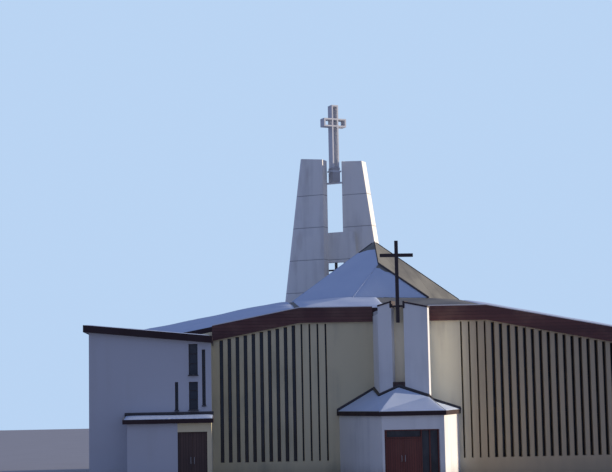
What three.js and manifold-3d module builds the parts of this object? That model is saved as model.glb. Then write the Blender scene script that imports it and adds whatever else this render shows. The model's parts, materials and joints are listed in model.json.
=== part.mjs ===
// A modern church: a long hall under a folded roof, a tent roof over its middle, a pointed prow
// with an open slot and a tall cross, a porch round its foot, a flat-roofed annex at the left,
// and a pair of tapered tower fins that rise through the rear roof and carry an open cross.
//
// Millimetres, +Z up, +X to the right of the front, -Y to the front. The origin is on the ground
// under the roof's peak.

import * as THREE from 'three';
import { mergeVertices } from 'three/addons/utils/BufferGeometryUtils.js';
import Module from 'manifold-3d';

const wasm = await Module();
wasm.setup();

// Clearance between pieces that touch
const SEAT = 0.3;

// How far a cutter runs past the faces that it cuts
const PAST = 5;

// Hall
const HALF_LENGTH = 14750;
const HALF_DEPTH = 8950;
const WALL = 350;
const FLOOR = 150;
const EAVE = 8430;
const ROOF = 250;
const KNEE = 4700;
const RIDGE_RISE = 920;
const WING_FALL = 0.19;
const GLASS = 20;

// Fascia boards round the hall's eaves
const FASCIA_DROP = 700;
const FASCIA_UP = 40;
const FASCIA_THICK = 130;
const FASCIA_GAP = 20;

// Slit windows
const SLIT_FIRST = 3400;
const SLIT_STEP = 400;
const SLIT_WIDE = 180;
const SLIT_NARROW = 90;
const SLIT_SILL = 900;
const SLIT_HEAD_DROP = 760;
const NARROW_SLITS = 4;
const SIDE_SLITS = 14;
const WING_SLITS = 27;
const END_SLITS = 12;

// Tent roof and the hood over the prow
const PEAK = 12700;
const HOOD_APEX_Y = -2000;
const HOOD_LEFT_X = -1550;
const HOOD_RIGHT_X = 2600;
const HOOD_FOOT = [2600, -3200, 9250];

// Prow: two slabs with a slot between them, turned a little, and their walls back to the hall
const PROW_TURN = -28;
const SLOT_CORNER = [190, -11905];
const SLOT_WIDE = 634;
const LEFT_SLAB = { length: 700, outerTop: 8345, innerTop: 8515 };
const RIGHT_SLAB = { length: 1220, outerTop: 8200, innerTop: 8475 };
const SLAB_THICK = 450;
const SLAB_END = 230;
const ROOT_LEFT = -1030;
const ROOT_RIGHT = 1750;
const PROW_WALL = 200;
const RETURN_LAP = 150;
const END_LAP = 80;
const PROW_TOP = 7990;
const PROW_ROOF = 200;
const NICHE_DEEP = 330;
const NICHE_TOP = 8300;
const INNER_DOOR = { front: -10627, back: -9713, head: 2350 };

// Tall cross in the prow's slot
const CROSS_BAR = 160;
const CROSS_X = -70;
const CROSS_FOOT = 7520;
const CROSS_TOP = 11480;
const CROSS_ARM_Z = 10775;
const CROSS_ARM_HALF = 800;
const CROSS_Y = -11860;
const HOLDER_Z = 8270;
const HOLDER_BAR = 90;
const BRACKET_Z = 7640;
const BRACKET_REACH = 540;
const CAP_LOW = 4150;
const CAP_HIGH = 4680;

// Porch round the prow's foot
const PORCH_FRONT = -14700;
const PORCH_LEFT = -1250;
const PORCH_RIGHT = 1630;
const PORCH_BACK_LEFT = -2800;
const PORCH_BACK_RIGHT = 3150;
const PORCH_WALL = 200;
const PORCH_EAVE = 3300;
const PORCH_OVERHANG = 120;
const PORCH_ROOF = 200;
const PORCH_APEX = 4450;
const PORCH_CORNER_LEFT = 4040;
const PORCH_CORNER_RIGHT = 3950;
const PORCH_BEHIND_RIGHT = 3860;
const PORCH_ROOT_LEFT = 4380;
const PORCH_ROOT_RIGHT = 3800;
const PORCH_HEAD = 2470;
const POST = 230;
const POST_LEFT = 110;
const POST_DEPTH = 500;

// Main doors and their glazed screen
const FRAME_Y = -14450;
const FRAME_DEPTH = 110;
const FRAME_BAR = 60;
const DOOR_LEFT = -1080;
const DOOR_RIGHT = 550;
const DOOR_HEAD = 2070;
const LEAF = 50;
const HINGE_INSET = 12;
const LEAF_GAP = 10;

// Annex at the left and its side porch
const ANNEX_LEFT = -14750;
const ANNEX_RIGHT = -9050;
const ANNEX_FRONT = -13000;
const ANNEX_WALL = 300;
const ANNEX_HIGH = 7550;
const ANNEX_FALL = 0.1;
const ANNEX_ROOF = 330;
const ANNEX_OVERHANG = 250;
const ANNEX_LAP = 60;
const ANNEX_WINDOWS = [
  { left: -10750, right: -10600, sill: 3550, head: 4850 },
  { left: -10100, right: -9680, sill: 5180, head: 6620 },
  { left: -10100, right: -9680, sill: 3550, head: 4850 },
  { left: -9480, right: -9320, sill: 3750, head: 6350 },
];
const ANNEX_PANE = { left: -10900, sill: 3450, head: 6650 };
const PASSAGE_HEAD = 2300;
const SIDE_LEFT = -12900;
const SIDE_FRONT = -14300;
const SIDE_EAVE = 3170;
const SIDE_BACK = 3310;
const SIDE_ROOF = 200;
const SIDE_OVERHANG = 200;
const SIDE_WALL = 200;
const SIDE_DOOR_LEFT = -10600;
const SIDE_DOOR_RIGHT = -9250;
const SIDE_DOOR_HEAD = 2550;

// Tower fins
const TOWER = { x: -2065, y: 6200, turn: -28 };
const FIN_TOP = 18300;
const LEFT_TOP = { inner: 18440, outer: 18580 };
const RIGHT_TOP = { inner: 18370, outer: 18290 };
const FIN_KNEE = 9000;
const FIN_THICK = 650;
const FIN_TOP_WIDTH = 1330;
const FIN_TAPER = 0.145;
const FIN_GAP = 880;
const FIN_BEVEL = 160;
const FIN_BEVEL_DEEP = 100;
const FIN_TIE = 250;
const FIN_TIE_LOW = 12160;
const FIN_TIE_HIGH = 14000;
const FIN_TIE_LAP = 300;
const FIN_TIE_SPLAY = 150;
const FIN_TIE_REACH = 885;
const FIN_TIE_SPREAD = 115;
const BEARER_Z = 17000;
const BEARER_THICK = 80;
const BEARER_LAP = 60;
const RAIL_Z = 11700;
const RAIL_BAR = 80;

// Open cross between the fins
const OPEN_CROSS = { turn: 22, width: 430, arm: 1480, depth: 560, plate: 85 };
const OPEN_TOP = 21840;
const OPEN_ARM_HIGH = 21010;
const OPEN_ARM_LOW = 20500;
const OPEN_FOOT_PANEL = 17900;
const OPEN_LUG_Z = 17750;
const OPEN_LUG = 130;

const COLOURS = {
  render: [0xe6e4de, 0.85, 0],
  cream: [0xd8cfae, 0.85, 0],
  olive: [0xaaa88f, 0.85, 0],
  concrete: [0x9a9894, 0.9, 0],
  roof: [0x7d7a72, 0.6, 0.2],
  fascia: [0x4c2320, 0.6, 0],
  door: [0x6b2a22, 0.55, 0],
  darkwood: [0x2c1e1a, 0.6, 0],
  glass: [0x55606c, 0.15, 0],
  steel: [0x1c1a1c, 0.5, 0.4],
  white: [0xd8d8da, 0.45, 0.3],
  floor: [0x8c8a86, 0.9, 0],
};

const church = new THREE.Group();

// Adds one named piece, with its own material.
function piece(name, geometry, colour) {
  const [hex, roughness, metalness] = COLOURS[colour];
  const material = new THREE.MeshStandardMaterial({ color: hex, roughness, metalness });
  const mesh = new THREE.Mesh(geometry, material);
  mesh.name = name;
  church.add(mesh);
  return mesh;
}

// A box between two corners.
function box(low, high) {
  const size = high.map((value, i) => value - low[i]);
  const geometry = new THREE.BoxGeometry(...size);
  return geometry.translate(...low.map((value, i) => value + size[i] / 2));
}

// Raises a closed outline of pairs by a depth.
function raise(points, depth) {
  const shape = new THREE.Shape(points.map(([a, b]) => new THREE.Vector2(a, b)));
  return new THREE.ExtrudeGeometry(shape, { depth, bevelEnabled: false });
}

// Cuts holes through a geometry.
function pierced(geometry, cutters) {
  if (cutters.length === 0) {
    return geometry;
  }
  return geometryOf(cutters.reduce((body, cutter) => body.subtract(solid(cutter)), solid(geometry)));
}

// A rectangle as four pairs.
function rectangle(a0, b0, a1, b1) {
  return [[a0, b0], [a1, b0], [a1, b1], [a0, b1]];
}

// A wall that faces front or back: its outline is in X and Z, and it runs from y0 to y1.
function wallAcross(points, y0, y1, holes = []) {
  const stand = (line, a, b) => raise(line, b - a).rotateX(Math.PI / 2).translate(0, b, 0);
  return pierced(stand(points, y0, y1), holes.map((hole) => stand(hole, y0 - PAST, y1 + PAST)));
}

// A wall that faces a side: its outline is in Y and Z, and it runs from x0 to x1.
function wallAlong(points, x0, x1, holes = []) {
  const turn = new THREE.Matrix4().makeBasis(
    new THREE.Vector3(0, 1, 0),
    new THREE.Vector3(0, 0, 1),
    new THREE.Vector3(1, 0, 0),
  );
  const stand = (line, a, b) => raise(line, b - a).applyMatrix4(turn).translate(a, 0, 0);
  return pierced(stand(points, x0, x1), holes.map((hole) => stand(hole, x0 - PAST, x1 + PAST)));
}

// A plan outline raised from one height to another.
function column(points, z0, z1) {
  return raise(points, z1 - z0).translate(0, 0, z0);
}

// A closed body from rings of points: each ring runs anticlockwise seen from above, lowest first.
function loft(rings) {
  const count = rings[0].length;
  const positions = rings.flat(2);
  const index = [];
  for (let i = 1; i < count - 1; i += 1) {
    const top = (rings.length - 1) * count;
    index.push(0, i + 1, i);
    index.push(top, top + i, top + i + 1);
  }
  for (let level = 0; level < rings.length - 1; level += 1) {
    for (let i = 0; i < count; i += 1) {
      const a = level * count + i;
      const b = level * count + ((i + 1) % count);
      index.push(a, b, b + count);
      index.push(a, b + count, a + count);
    }
  }
  const geometry = new THREE.BufferGeometry();
  geometry.setAttribute('position', new THREE.Float32BufferAttribute(positions, 3));
  geometry.setIndex(index);
  return geometry;
}

// A folded sheet with upright edges: corners run anticlockwise round its rim, and faces name
// the corners of each flat triangle. It is drawn in from its neighbours by the seat clearance.
function sheet(corners, faces, thick) {
  const count = corners.length;
  const drawn = corners.map((corner, i) => {
    const before = corners[(i + count - 1) % count];
    const after = corners[(i + 1) % count];
    return drawIn(corner, before, after);
  });
  const positions = drawn.flatMap(([x, y, z]) => [x, y, z - thick]).concat(drawn.flat());
  const index = [];
  for (const [a, b, c] of faces) {
    index.push(a, c, b);
    index.push(a + count, b + count, c + count);
  }
  for (let i = 0; i < count; i += 1) {
    const next = (i + 1) % count;
    index.push(i, next, next + count);
    index.push(i, next + count, i + count);
  }
  const geometry = new THREE.BufferGeometry();
  geometry.setAttribute('position', new THREE.Float32BufferAttribute(positions, 3));
  geometry.setIndex(index);
  return geometry;
}

// Moves a corner inwards, so that both edges that meet there keep their clearance.
function drawIn(corner, before, after) {
  const inward = [before, after].map((other, side) => {
    const along = [other[0] - corner[0], other[1] - corner[1]];
    const length = Math.hypot(...along);
    const sign = side === 0 ? 1 : -1;
    return [(along[1] * sign) / length, (-along[0] * sign) / length];
  });
  const sum = [inward[0][0] + inward[1][0], inward[0][1] + inward[1][1]];
  const scale = SEAT / (1 + inward[0][0] * inward[1][0] + inward[0][1] * inward[1][1]);
  return [corner[0] + sum[0] * scale, corner[1] + sum[1] * scale, corner[2]];
}

// Makes a solid of a closed geometry, to cut or join it.
function solid(geometry) {
  const plain = geometry.clone();
  plain.deleteAttribute('normal');
  plain.deleteAttribute('uv');
  const merged = mergeVertices(plain, 0.001);
  return new wasm.Manifold(new wasm.Mesh({
    numProp: 3,
    vertProperties: Float32Array.from(merged.attributes.position.array),
    triVerts: Uint32Array.from(merged.index.array),
  }));
}

// Gives a solid back as a geometry.
function geometryOf(manifold) {
  const mesh = manifold.getMesh();
  const geometry = new THREE.BufferGeometry();
  geometry.setAttribute('position', new THREE.BufferAttribute(mesh.vertProperties, 3));
  geometry.setIndex(new THREE.BufferAttribute(mesh.triVerts, 1));
  return geometry;
}

// Height of the hall's eave at a place along its length.
function eaveAt(x) {
  return EAVE - WING_FALL * Math.max(0, Math.abs(x) - KNEE);
}

// Height of a wing's roof over any point.
function wingAt(x, y) {
  return eaveAt(x) + (RIDGE_RISE * (HALF_DEPTH - Math.abs(y))) / HALF_DEPTH;
}

// Slit windows along a wall: places in from the middle, on one side of it or the other.
function slits(side, count, headAt) {
  const holes = [];
  for (let i = 0; i < count; i += 1) {
    const middle = side * (SLIT_FIRST + i * SLIT_STEP);
    const half = (i < NARROW_SLITS ? SLIT_NARROW : SLIT_WIDE) / 2;
    holes.push(rectangle(middle - half, SLIT_SILL, middle + half, headAt(middle)));
  }
  return holes;
}

// The hall's long walls, with their tops under the roof.
function hallWalls() {
  const headAt = (x) => eaveAt(x) - SLIT_HEAD_DROP;
  const topAt = (x) => eaveAt(x) - ROOF - SEAT;
  const end = HALF_LENGTH;
  const left = [
    [-end, 0],
    [ROOT_LEFT + PROW_WALL, 0],
    [ROOT_LEFT + PROW_WALL, topAt(0)],
    [-KNEE, topAt(0)],
    [-end, topAt(end)],
  ];
  const right = [
    [ROOT_RIGHT - PROW_WALL, 0],
    [end, 0],
    [end, topAt(end)],
    [KNEE, topAt(0)],
    [ROOT_RIGHT - PROW_WALL, topAt(0)],
  ];
  const rear = [
    [-end, 0], [end, 0], [end, topAt(end)], [KNEE, topAt(0)], [-KNEE, topAt(0)], [-end, topAt(end)],
  ];
  const inner = HALF_DEPTH - WALL;
  piece('left_front_wall', wallAcross(left, -HALF_DEPTH, -inner, slits(-1, SIDE_SLITS, headAt)), 'olive');
  piece('right_front_wall', wallAcross(right, -HALF_DEPTH, -inner, slits(1, WING_SLITS, headAt)), 'cream');
  const rearSlits = [...slits(-1, WING_SLITS, headAt), ...slits(1, WING_SLITS, headAt)];
  piece('rear_wall', wallAcross(rear, inner, HALF_DEPTH, rearSlits), 'olive');
}

// The hall's end walls stand between the long ones, under the low ridge of each wing.
function endWalls() {
  const reach = HALF_DEPTH - WALL - SEAT;
  const topAt = (y) => wingAt(HALF_LENGTH, y) - ROOF - SEAT;
  const points = [[-reach, 0], [reach, 0], [reach, topAt(reach)], [0, topAt(0)], [-reach, topAt(reach)]];
  const headAt = () => eaveAt(HALF_LENGTH) - SLIT_HEAD_DROP;
  for (const [name, side] of [['left_end_wall', -1], ['right_end_wall', 1]]) {
    const x = [side * HALF_LENGTH, side * (HALF_LENGTH - WALL)].sort((a, b) => a - b);
    const holes = [...slits(-1, END_SLITS, headAt), ...slits(1, END_SLITS, headAt)];
    piece(name, wallAlong(points, x[0], x[1], holes), 'olive');
  }
}

// One sheet of glass behind each wall closes its slits.
function hallGlass() {
  const inner = HALF_DEPTH - WALL - SEAT;
  const margin = 150;
  const low = SLIT_SILL - margin;
  const across = (x0, x1) => {
    const reach = Math.max(Math.abs(x0), Math.abs(x1));
    const near = Math.min(Math.abs(x0), Math.abs(x1));
    const high = (x) => eaveAt(x) - SLIT_HEAD_DROP + margin / 2;
    const side = Math.sign(x0 + x1);
    const points = [[near, low], [reach, low], [reach, high(reach)], [KNEE, high(KNEE)], [near, high(near)]];
    return points.map(([x, z]) => [side * x, z]);
  };
  const far = SLIT_FIRST + WING_SLITS * SLIT_STEP - margin;
  const near = SLIT_FIRST - margin;
  const leftFar = SLIT_FIRST + SIDE_SLITS * SLIT_STEP - margin;
  const left = across(-leftFar, -near).reverse();
  piece('front_glass_left', wallAcross(left, -inner, -inner + GLASS), 'glass');
  piece('front_glass_right', wallAcross(across(near, far), -inner, -inner + GLASS), 'glass');
  const rightHalf = across(0.001, far).slice(1, 4);
  const rear = [...rightHalf, ...rightHalf.map(([x, z]) => [-x, z]).reverse()];
  piece('rear_glass', wallAcross(rear, inner - GLASS, inner), 'glass');
  const endX = HALF_LENGTH - WALL - SEAT;
  const high = eaveAt(HALF_LENGTH) - SLIT_HEAD_DROP + margin / 2;
  const reach = SLIT_FIRST + END_SLITS * SLIT_STEP - margin;
  piece('left_end_glass', box([-endX, -reach, low], [-endX + GLASS, reach, high]), 'glass');
  piece('right_end_glass', box([endX - GLASS, -reach, low], [endX, reach, high]), 'glass');
}

// A face of three or four corners as a roof sheet.
function roofSheet(name, corners, faces, thick = ROOF) {
  piece(name, sheet(corners, faces, thick), 'roof');
}

// Each wing's low roof, folded along its ridge.
function wingRoofs() {
  const end = HALF_LENGTH;
  const faces = [[0, 1, 2], [0, 2, 5], [2, 3, 4], [2, 4, 5]];
  const at = (x, y) => [x, y, wingAt(x, y)];
  const d = HALF_DEPTH;
  const right = [at(KNEE, -d), at(end, -d), at(end, 0), at(end, d), at(KNEE, d), at(KNEE, 0)];
  roofSheet('right_wing_roof', right, faces);
  const left = [at(-end, -d), at(-KNEE, -d), at(-KNEE, 0), at(-KNEE, d), at(-end, d), at(-end, 0)];
  piece('left_wing_roof', geometryOf(cutByFins(solid(sheet(left, faces, ROOF)))), 'roof');
}

// Height of the tent's four faces, which fall alike along both axes.
function tentAt(x, y) {
  return PEAK - ((PEAK - EAVE - RIDGE_RISE) * (Math.abs(x) + Math.abs(y))) / KNEE;
}

// The steep tent over the middle of the hall, with the hood that runs out over the prow.
function tentRoof() {
  const at = (x, y) => [x, y, tentAt(x, y)];
  const quad = [[0, 1, 2], [0, 2, 3]];
  const left = at(HOOD_LEFT_X, -KNEE - HOOD_LEFT_X);
  const right = at(HOOD_RIGHT_X, -KNEE + HOOD_RIGHT_X);
  const apex = at(0, HOOD_APEX_Y);
  roofSheet('tent_front_left', [at(-KNEE, 0), left, apex, at(0, 0)], quad);
  roofSheet('tent_front_right', [at(0, 0), apex, right, at(KNEE, 0)], quad);
  roofSheet('tent_rear', [at(-KNEE, 0), at(0, 0), at(KNEE, 0), at(0, KNEE)], [[0, 1, 3], [1, 2, 3]]);
  roofSheet('prow_hood', [left, HOOD_FOOT, right, apex], [[0, 1, 3], [1, 2, 3]]);
}

// The shallow skirt between the tent's foot and the eaves.
function skirtRoof() {
  const corner = (x, y) => [x, y, EAVE];
  const base = EAVE + RIDGE_RISE;
  const foot = HOOD_FOOT;
  const left = [HOOD_LEFT_X, -KNEE - HOOD_LEFT_X, base];
  const right = [HOOD_RIGHT_X, -KNEE + HOOD_RIGHT_X, base];
  const d = HALF_DEPTH;
  const middle = foot[0];
  const front = [
    corner(-KNEE, -d), corner(middle, -d), corner(KNEE, -d), [KNEE, 0, base],
    right, foot, left, [-KNEE, 0, base],
  ];
  const frontFaces = [[0, 1, 5], [0, 5, 6], [0, 6, 7], [1, 2, 5], [2, 4, 5], [2, 3, 4]];
  roofSheet('skirt_front', front, frontFaces);
  const rear = [
    [KNEE, 0, base], corner(KNEE, d), corner(0, d), corner(-KNEE, d), [-KNEE, 0, base], [0, KNEE, base],
  ];
  const rearFaces = [[0, 1, 5], [1, 2, 5], [2, 3, 5], [3, 4, 5]];
  piece('skirt_rear', geometryOf(cutByFins(solid(sheet(rear, rearFaces, ROOF)))), 'roof');
}

// Boards that cover the roof's edge and the top of the wall.
function fascias() {
  const up = (x) => eaveAt(x) + FASCIA_UP;
  const down = (x) => eaveAt(x) - FASCIA_DROP;
  const end = HALF_LENGTH + FASCIA_THICK;
  const front = -HALF_DEPTH - SEAT;
  const boardRight = (x0) => [
    [x0, down(x0)], [KNEE, down(KNEE)], [end, down(end)], [end, up(end)], [KNEE, up(KNEE)], [x0, up(x0)],
  ];
  const leftStart = ROOT_LEFT - FASCIA_GAP;
  const leftEnd = ANNEX_RIGHT + SEAT;
  const left = [
    [leftEnd, down(leftEnd)], [-KNEE, down(KNEE)], [leftStart, down(0)],
    [leftStart, up(0)], [-KNEE, up(KNEE)], [leftEnd, up(leftEnd)],
  ];
  const rightStart = ROOT_RIGHT + FASCIA_GAP;
  piece('front_fascia_left', wallAcross(left, front - FASCIA_THICK, front), 'fascia');
  piece('front_fascia_right', wallAcross(boardRight(rightStart), front - FASCIA_THICK, front), 'fascia');
  const mirrored = boardRight(0).map(([x, z]) => [-x, z]).reverse();
  const rear = [...boardRight(0).slice(1, 5), ...mirrored.slice(1, 5)];
  piece('rear_fascia', wallAcross(rear, -front, -front + FASCIA_THICK), 'fascia');
  const x = HALF_LENGTH;
  const gable = (y, lift) => wingAt(x, y) + lift;
  const side = [
    [-HALF_DEPTH, gable(HALF_DEPTH, -FASCIA_DROP)], [0, gable(0, -FASCIA_DROP)],
    [HALF_DEPTH, gable(HALF_DEPTH, -FASCIA_DROP)], [HALF_DEPTH, gable(HALF_DEPTH, FASCIA_UP)],
    [0, gable(0, FASCIA_UP)], [-HALF_DEPTH, gable(HALF_DEPTH, FASCIA_UP)],
  ];
  piece('right_end_fascia', wallAlong(side, x + SEAT, x + FASCIA_THICK), 'fascia');
  piece('left_end_fascia', wallAlong(side, -x - FASCIA_THICK, -x - SEAT), 'fascia');
}

// A place in the prow's turned frame: t runs along the slabs from the slot's right side, and d
// runs back from their front face.
function prowAt(t, d) {
  const turn = THREE.MathUtils.degToRad(PROW_TURN);
  const x = SLOT_CORNER[0] + t * Math.cos(turn) - d * Math.sin(turn);
  const y = SLOT_CORNER[1] + t * Math.sin(turn) + d * Math.cos(turn);
  return [x, y];
}

// A slab of the prow between two places along it, whose top slopes from one height to the other.
// Its back runs from one thickness to the other too.
function slab(t0, t1, top0, top1, thick1 = SLAB_THICK) {
  const plan = [prowAt(t0, 0), prowAt(t1, 0), prowAt(t1, thick1), prowAt(t0, SLAB_THICK)];
  const tops = [top0, top1, top1, top0];
  const foot = FLOOR + SEAT;
  return loft([plan.map(([x, y]) => [x, y, foot]), plan.map(([x, y], i) => [x, y, tops[i]])]);
}

// Joins a slab to the wall behind it and cuts a doorway between the porch and the hall.
function prowWall(name, front, plan) {
  const wall = solid(front).add(solid(column(plan, FLOOR + SEAT, PROW_TOP)));
  const doorway = box([-HALF_DEPTH, INNER_DOOR.front, 0], [HALF_DEPTH, INNER_DOOR.back, INNER_DOOR.head]);
  piece(name, geometryOf(wall.subtract(solid(doorway))), 'render');
}

// The plan of something that fills the slot between two depths.
function slotPlan(d0, d1) {
  return [prowAt(SEAT - SLOT_WIDE, d0), prowAt(-SEAT, d0), prowAt(-SEAT, d1), prowAt(SEAT - SLOT_WIDE, d1)];
}

// The prow: its two walls, the wall in its slot and its roof.
function prow() {
  const back = -HALF_DEPTH - SEAT;
  const leftEnd = -SLOT_WIDE - LEFT_SLAB.length;
  const rightEnd = RIGHT_SLAB.length;
  prowWall('prow_wall_left', slab(leftEnd, -SLOT_WIDE, LEFT_SLAB.outerTop, LEFT_SLAB.innerTop), [
    prowAt(leftEnd, 0), prowAt(leftEnd + PROW_WALL + RETURN_LAP, RETURN_LAP),
    [ROOT_LEFT + PROW_WALL, back], [ROOT_LEFT, back],
  ]);
  prowWall('prow_wall_right', slab(0, rightEnd, RIGHT_SLAB.innerTop, RIGHT_SLAB.outerTop, SLAB_END), [
    prowAt(rightEnd - RETURN_LAP, SLAB_END - END_LAP), prowAt(rightEnd, SLAB_END),
    [ROOT_RIGHT, back], [ROOT_RIGHT - PROW_WALL, back],
  ]);
  piece('niche_wall', column(slotPlan(NICHE_DEEP, SLAB_THICK), FLOOR + SEAT, NICHE_TOP), 'cream');
  const behind = SLAB_THICK + SEAT;
  const roof = [
    [ROOT_LEFT, back], prowAt(leftEnd - SEAT, PROW_WALL), prowAt(leftEnd - SEAT, behind),
    prowAt(0, behind), prowAt(rightEnd, SLAB_END + SEAT), [ROOT_RIGHT, back],
  ];
  piece('prow_roof', column(roof, PROW_TOP + SEAT, PROW_TOP + PROW_ROOF), 'roof');
}

// The tall dark cross in the slot, with the bar across the slot and the bracket behind it that
// hold it, and the box at the slot's foot.
function frontCross() {
  const half = CROSS_BAR / 2;
  const points = [
    [-half, CROSS_FOOT], [half, CROSS_FOOT], [half, CROSS_ARM_Z - half], [CROSS_ARM_HALF, CROSS_ARM_Z - half],
    [CROSS_ARM_HALF, CROSS_ARM_Z + half], [half, CROSS_ARM_Z + half], [half, CROSS_TOP], [-half, CROSS_TOP],
    [-half, CROSS_ARM_Z + half], [-CROSS_ARM_HALF, CROSS_ARM_Z + half],
    [-CROSS_ARM_HALF, CROSS_ARM_Z - half], [-half, CROSS_ARM_Z - half],
  ].map(([x, z]) => [CROSS_X + x, z]);
  const upright = solid(wallAcross(points, CROSS_Y, CROSS_Y + CROSS_BAR));
  const bar = solid(column(slotPlan(0, HOLDER_BAR), HOLDER_Z, HOLDER_Z + HOLDER_BAR));
  const reach = [CROSS_X - HOLDER_BAR / 2, CROSS_Y + half, BRACKET_Z];
  const end = [CROSS_X + HOLDER_BAR / 2, CROSS_Y + BRACKET_REACH, BRACKET_Z + HOLDER_BAR];
  const behind = column(slotPlan(NICHE_DEEP - SEAT, 2 * NICHE_DEEP), CROSS_FOOT, CROSS_TOP);
  const bracket = solid(box(reach, end)).subtract(solid(behind));
  piece('front_cross', geometryOf(upright.add(bar).add(bracket)), 'steel');
  piece('niche_cap', column(slotPlan(SEAT, NICHE_DEEP - SEAT), CAP_LOW, CAP_HIGH), 'darkwood');
}

// The porch: a floor, two side walls that end in posts, a beam over the doors and a hipped roof.
function porch() {
  const y = PORCH_FRONT;
  const back = -HALF_DEPTH - SEAT;
  const floor = [[PORCH_LEFT, y], [PORCH_RIGHT, y], [PORCH_BACK_RIGHT, back], [PORCH_BACK_LEFT, back]];
  piece('porch_floor', column(floor, 0, FLOOR), 'floor');
  const high = PORCH_EAVE - PORCH_ROOF - SEAT;
  const low = FLOOR + SEAT;
  const post = y + POST_DEPTH;
  const sideLine = (x0, x1, at) => x0 + ((x1 - x0) * (at - y)) / (back - y);
  const left = (at) => sideLine(PORCH_LEFT, PORCH_BACK_LEFT, at);
  const right = (at) => sideLine(PORCH_RIGHT, PORCH_BACK_RIGHT, at);
  const t = PORCH_WALL;
  const jambLeft = PORCH_LEFT + POST_LEFT;
  const jambRight = PORCH_RIGHT - POST;
  piece('porch_wall_left', column([
    [PORCH_LEFT, y], [jambLeft, y], [jambLeft, post], [left(post) + t, post],
    [left(back) + t, back], [left(back), back],
  ], low, high), 'render');
  piece('porch_wall_right', column([
    [jambRight, y], [PORCH_RIGHT, y], [right(back), back], [right(back) - t, back],
    [right(post) - t, post], [jambRight, post],
  ], low, high), 'render');
  piece('porch_beam', box([jambLeft + SEAT, y, PORCH_HEAD], [jambRight - SEAT, post, high]), 'render');
  porchRoof(left, right);
}

// The porch roof: it rises from its eaves to the prow's front, and folds at each corner.
function porchRoof(left, right) {
  const over = PORCH_OVERHANG;
  const y = PORCH_FRONT - over;
  const back = -HALF_DEPTH;
  const frontLeft = [left(y) - over, y, PORCH_EAVE];
  const frontRight = [right(y) + over, y, PORCH_EAVE];
  const backLeft = [left(back) - over, back, PORCH_EAVE];
  const backRight = [right(back) + over, back, PORCH_EAVE];
  const rootLeft = [ROOT_LEFT, back, PORCH_ROOT_LEFT];
  const rootRight = [ROOT_RIGHT, back, PORCH_ROOT_RIGHT];
  const rightEnd = RIGHT_SLAB.length;
  const cornerRight = [...prowAt(rightEnd, 0), PORCH_CORNER_RIGHT];
  const behindRight = [...prowAt(rightEnd, SLAB_END), PORCH_BEHIND_RIGHT];
  const apex = [...prowAt(-SLOT_WIDE / 2, 0), PORCH_APEX];
  const cornerLeft = [...prowAt(-SLOT_WIDE - LEFT_SLAB.length, 0), PORCH_CORNER_LEFT];
  const corners = [
    frontLeft, frontRight, backRight, rootRight, behindRight,
    cornerRight, apex, cornerLeft, rootLeft, backLeft,
  ];
  const faces = [[0, 1, 5], [0, 5, 6], [0, 6, 7], [1, 2, 3], [1, 3, 4], [1, 4, 5], [0, 7, 8], [0, 8, 9]];
  roofSheet('porch_roof', corners, faces, PORCH_ROOF);
}

// A door leaf with a round knuckle down its hinge side, in its own frame: the hinge line is the
// origin, side is 1 for a leaf that runs to +X, and its back is towards +Y.
function leafOutline(width, side) {
  const knuckle = HINGE_INSET - SEAT;
  const points = [[width, 0], [width, LEAF], [0, LEAF]];
  const steps = 9;
  for (let i = 0; i <= steps; i += 1) {
    const angle = Math.PI / 2 + (i * Math.PI * 1.5) / steps;
    points.push([knuckle * Math.cos(angle), knuckle * Math.sin(angle)]);
  }
  return side > 0 ? points : points.map(([x, y]) => [-x, y]).reverse();
}

// A pair of leaves in an opening. Each turns outwards about its own jamb.
function doorPair(name, x0, x1, y, z0, z1, colour) {
  const width = (x1 - x0 - LEAF_GAP) / 2 - HINGE_INSET;
  for (const [hand, side, jamb] of [['left', 1, x0], ['right', -1, x1]]) {
    const geometry = column(leafOutline(width, side), z0, z1);
    const mesh = piece(`${name}_${hand}`, geometry, colour);
    mesh.position.set(jamb + side * HINGE_INSET, y, 0);
  }
}

// The main doors with the window band over them and the glazed screen beside them.
function mainEntrance() {
  const low = FLOOR + SEAT;
  const head = PORCH_HEAD - SEAT;
  const left = PORCH_LEFT + POST_LEFT + SEAT;
  const right = PORCH_RIGHT - POST - SEAT;
  const band = DOOR_HEAD + FRAME_BAR;
  const screen = DOOR_RIGHT + FRAME_BAR;
  const middle = (screen + right - FRAME_BAR) / 2;
  const y0 = FRAME_Y;
  const y1 = FRAME_Y + FRAME_DEPTH;
  const face = [
    [left, low], [DOOR_LEFT, low], [DOOR_LEFT, DOOR_HEAD], [DOOR_RIGHT, DOOR_HEAD], [DOOR_RIGHT, low],
    [right, low], [right, head], [left, head],
  ];
  const bar = FRAME_BAR / 2;
  const holes = [
    rectangle(DOOR_LEFT + FRAME_BAR, band, DOOR_RIGHT, head - FRAME_BAR),
    rectangle(screen, low + FRAME_BAR, middle - bar, head - FRAME_BAR),
    rectangle(middle + bar, low + FRAME_BAR, right - FRAME_BAR, head - FRAME_BAR),
  ];
  piece('door_frame', wallAcross(face, y0, y1, holes), 'door');
  const pane = [
    [screen - bar, low + bar], [right - bar, low + bar], [right - bar, head - bar],
    [DOOR_LEFT + bar, head - bar], [DOOR_LEFT + bar, band - bar], [screen - bar, band - bar],
  ];
  piece('door_glass', wallAcross(pane, y1 + SEAT, y1 + GLASS), 'glass');
  const clear = 10;
  doorPair('main_door', DOOR_LEFT, DOOR_RIGHT, y0, FLOOR + clear, DOOR_HEAD - clear, 'door');
}

// Height of the annex's flat roof, which falls a little to the right.
function annexAt(x) {
  return ANNEX_HIGH - ANNEX_FALL * (x - ANNEX_LEFT);
}

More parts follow.
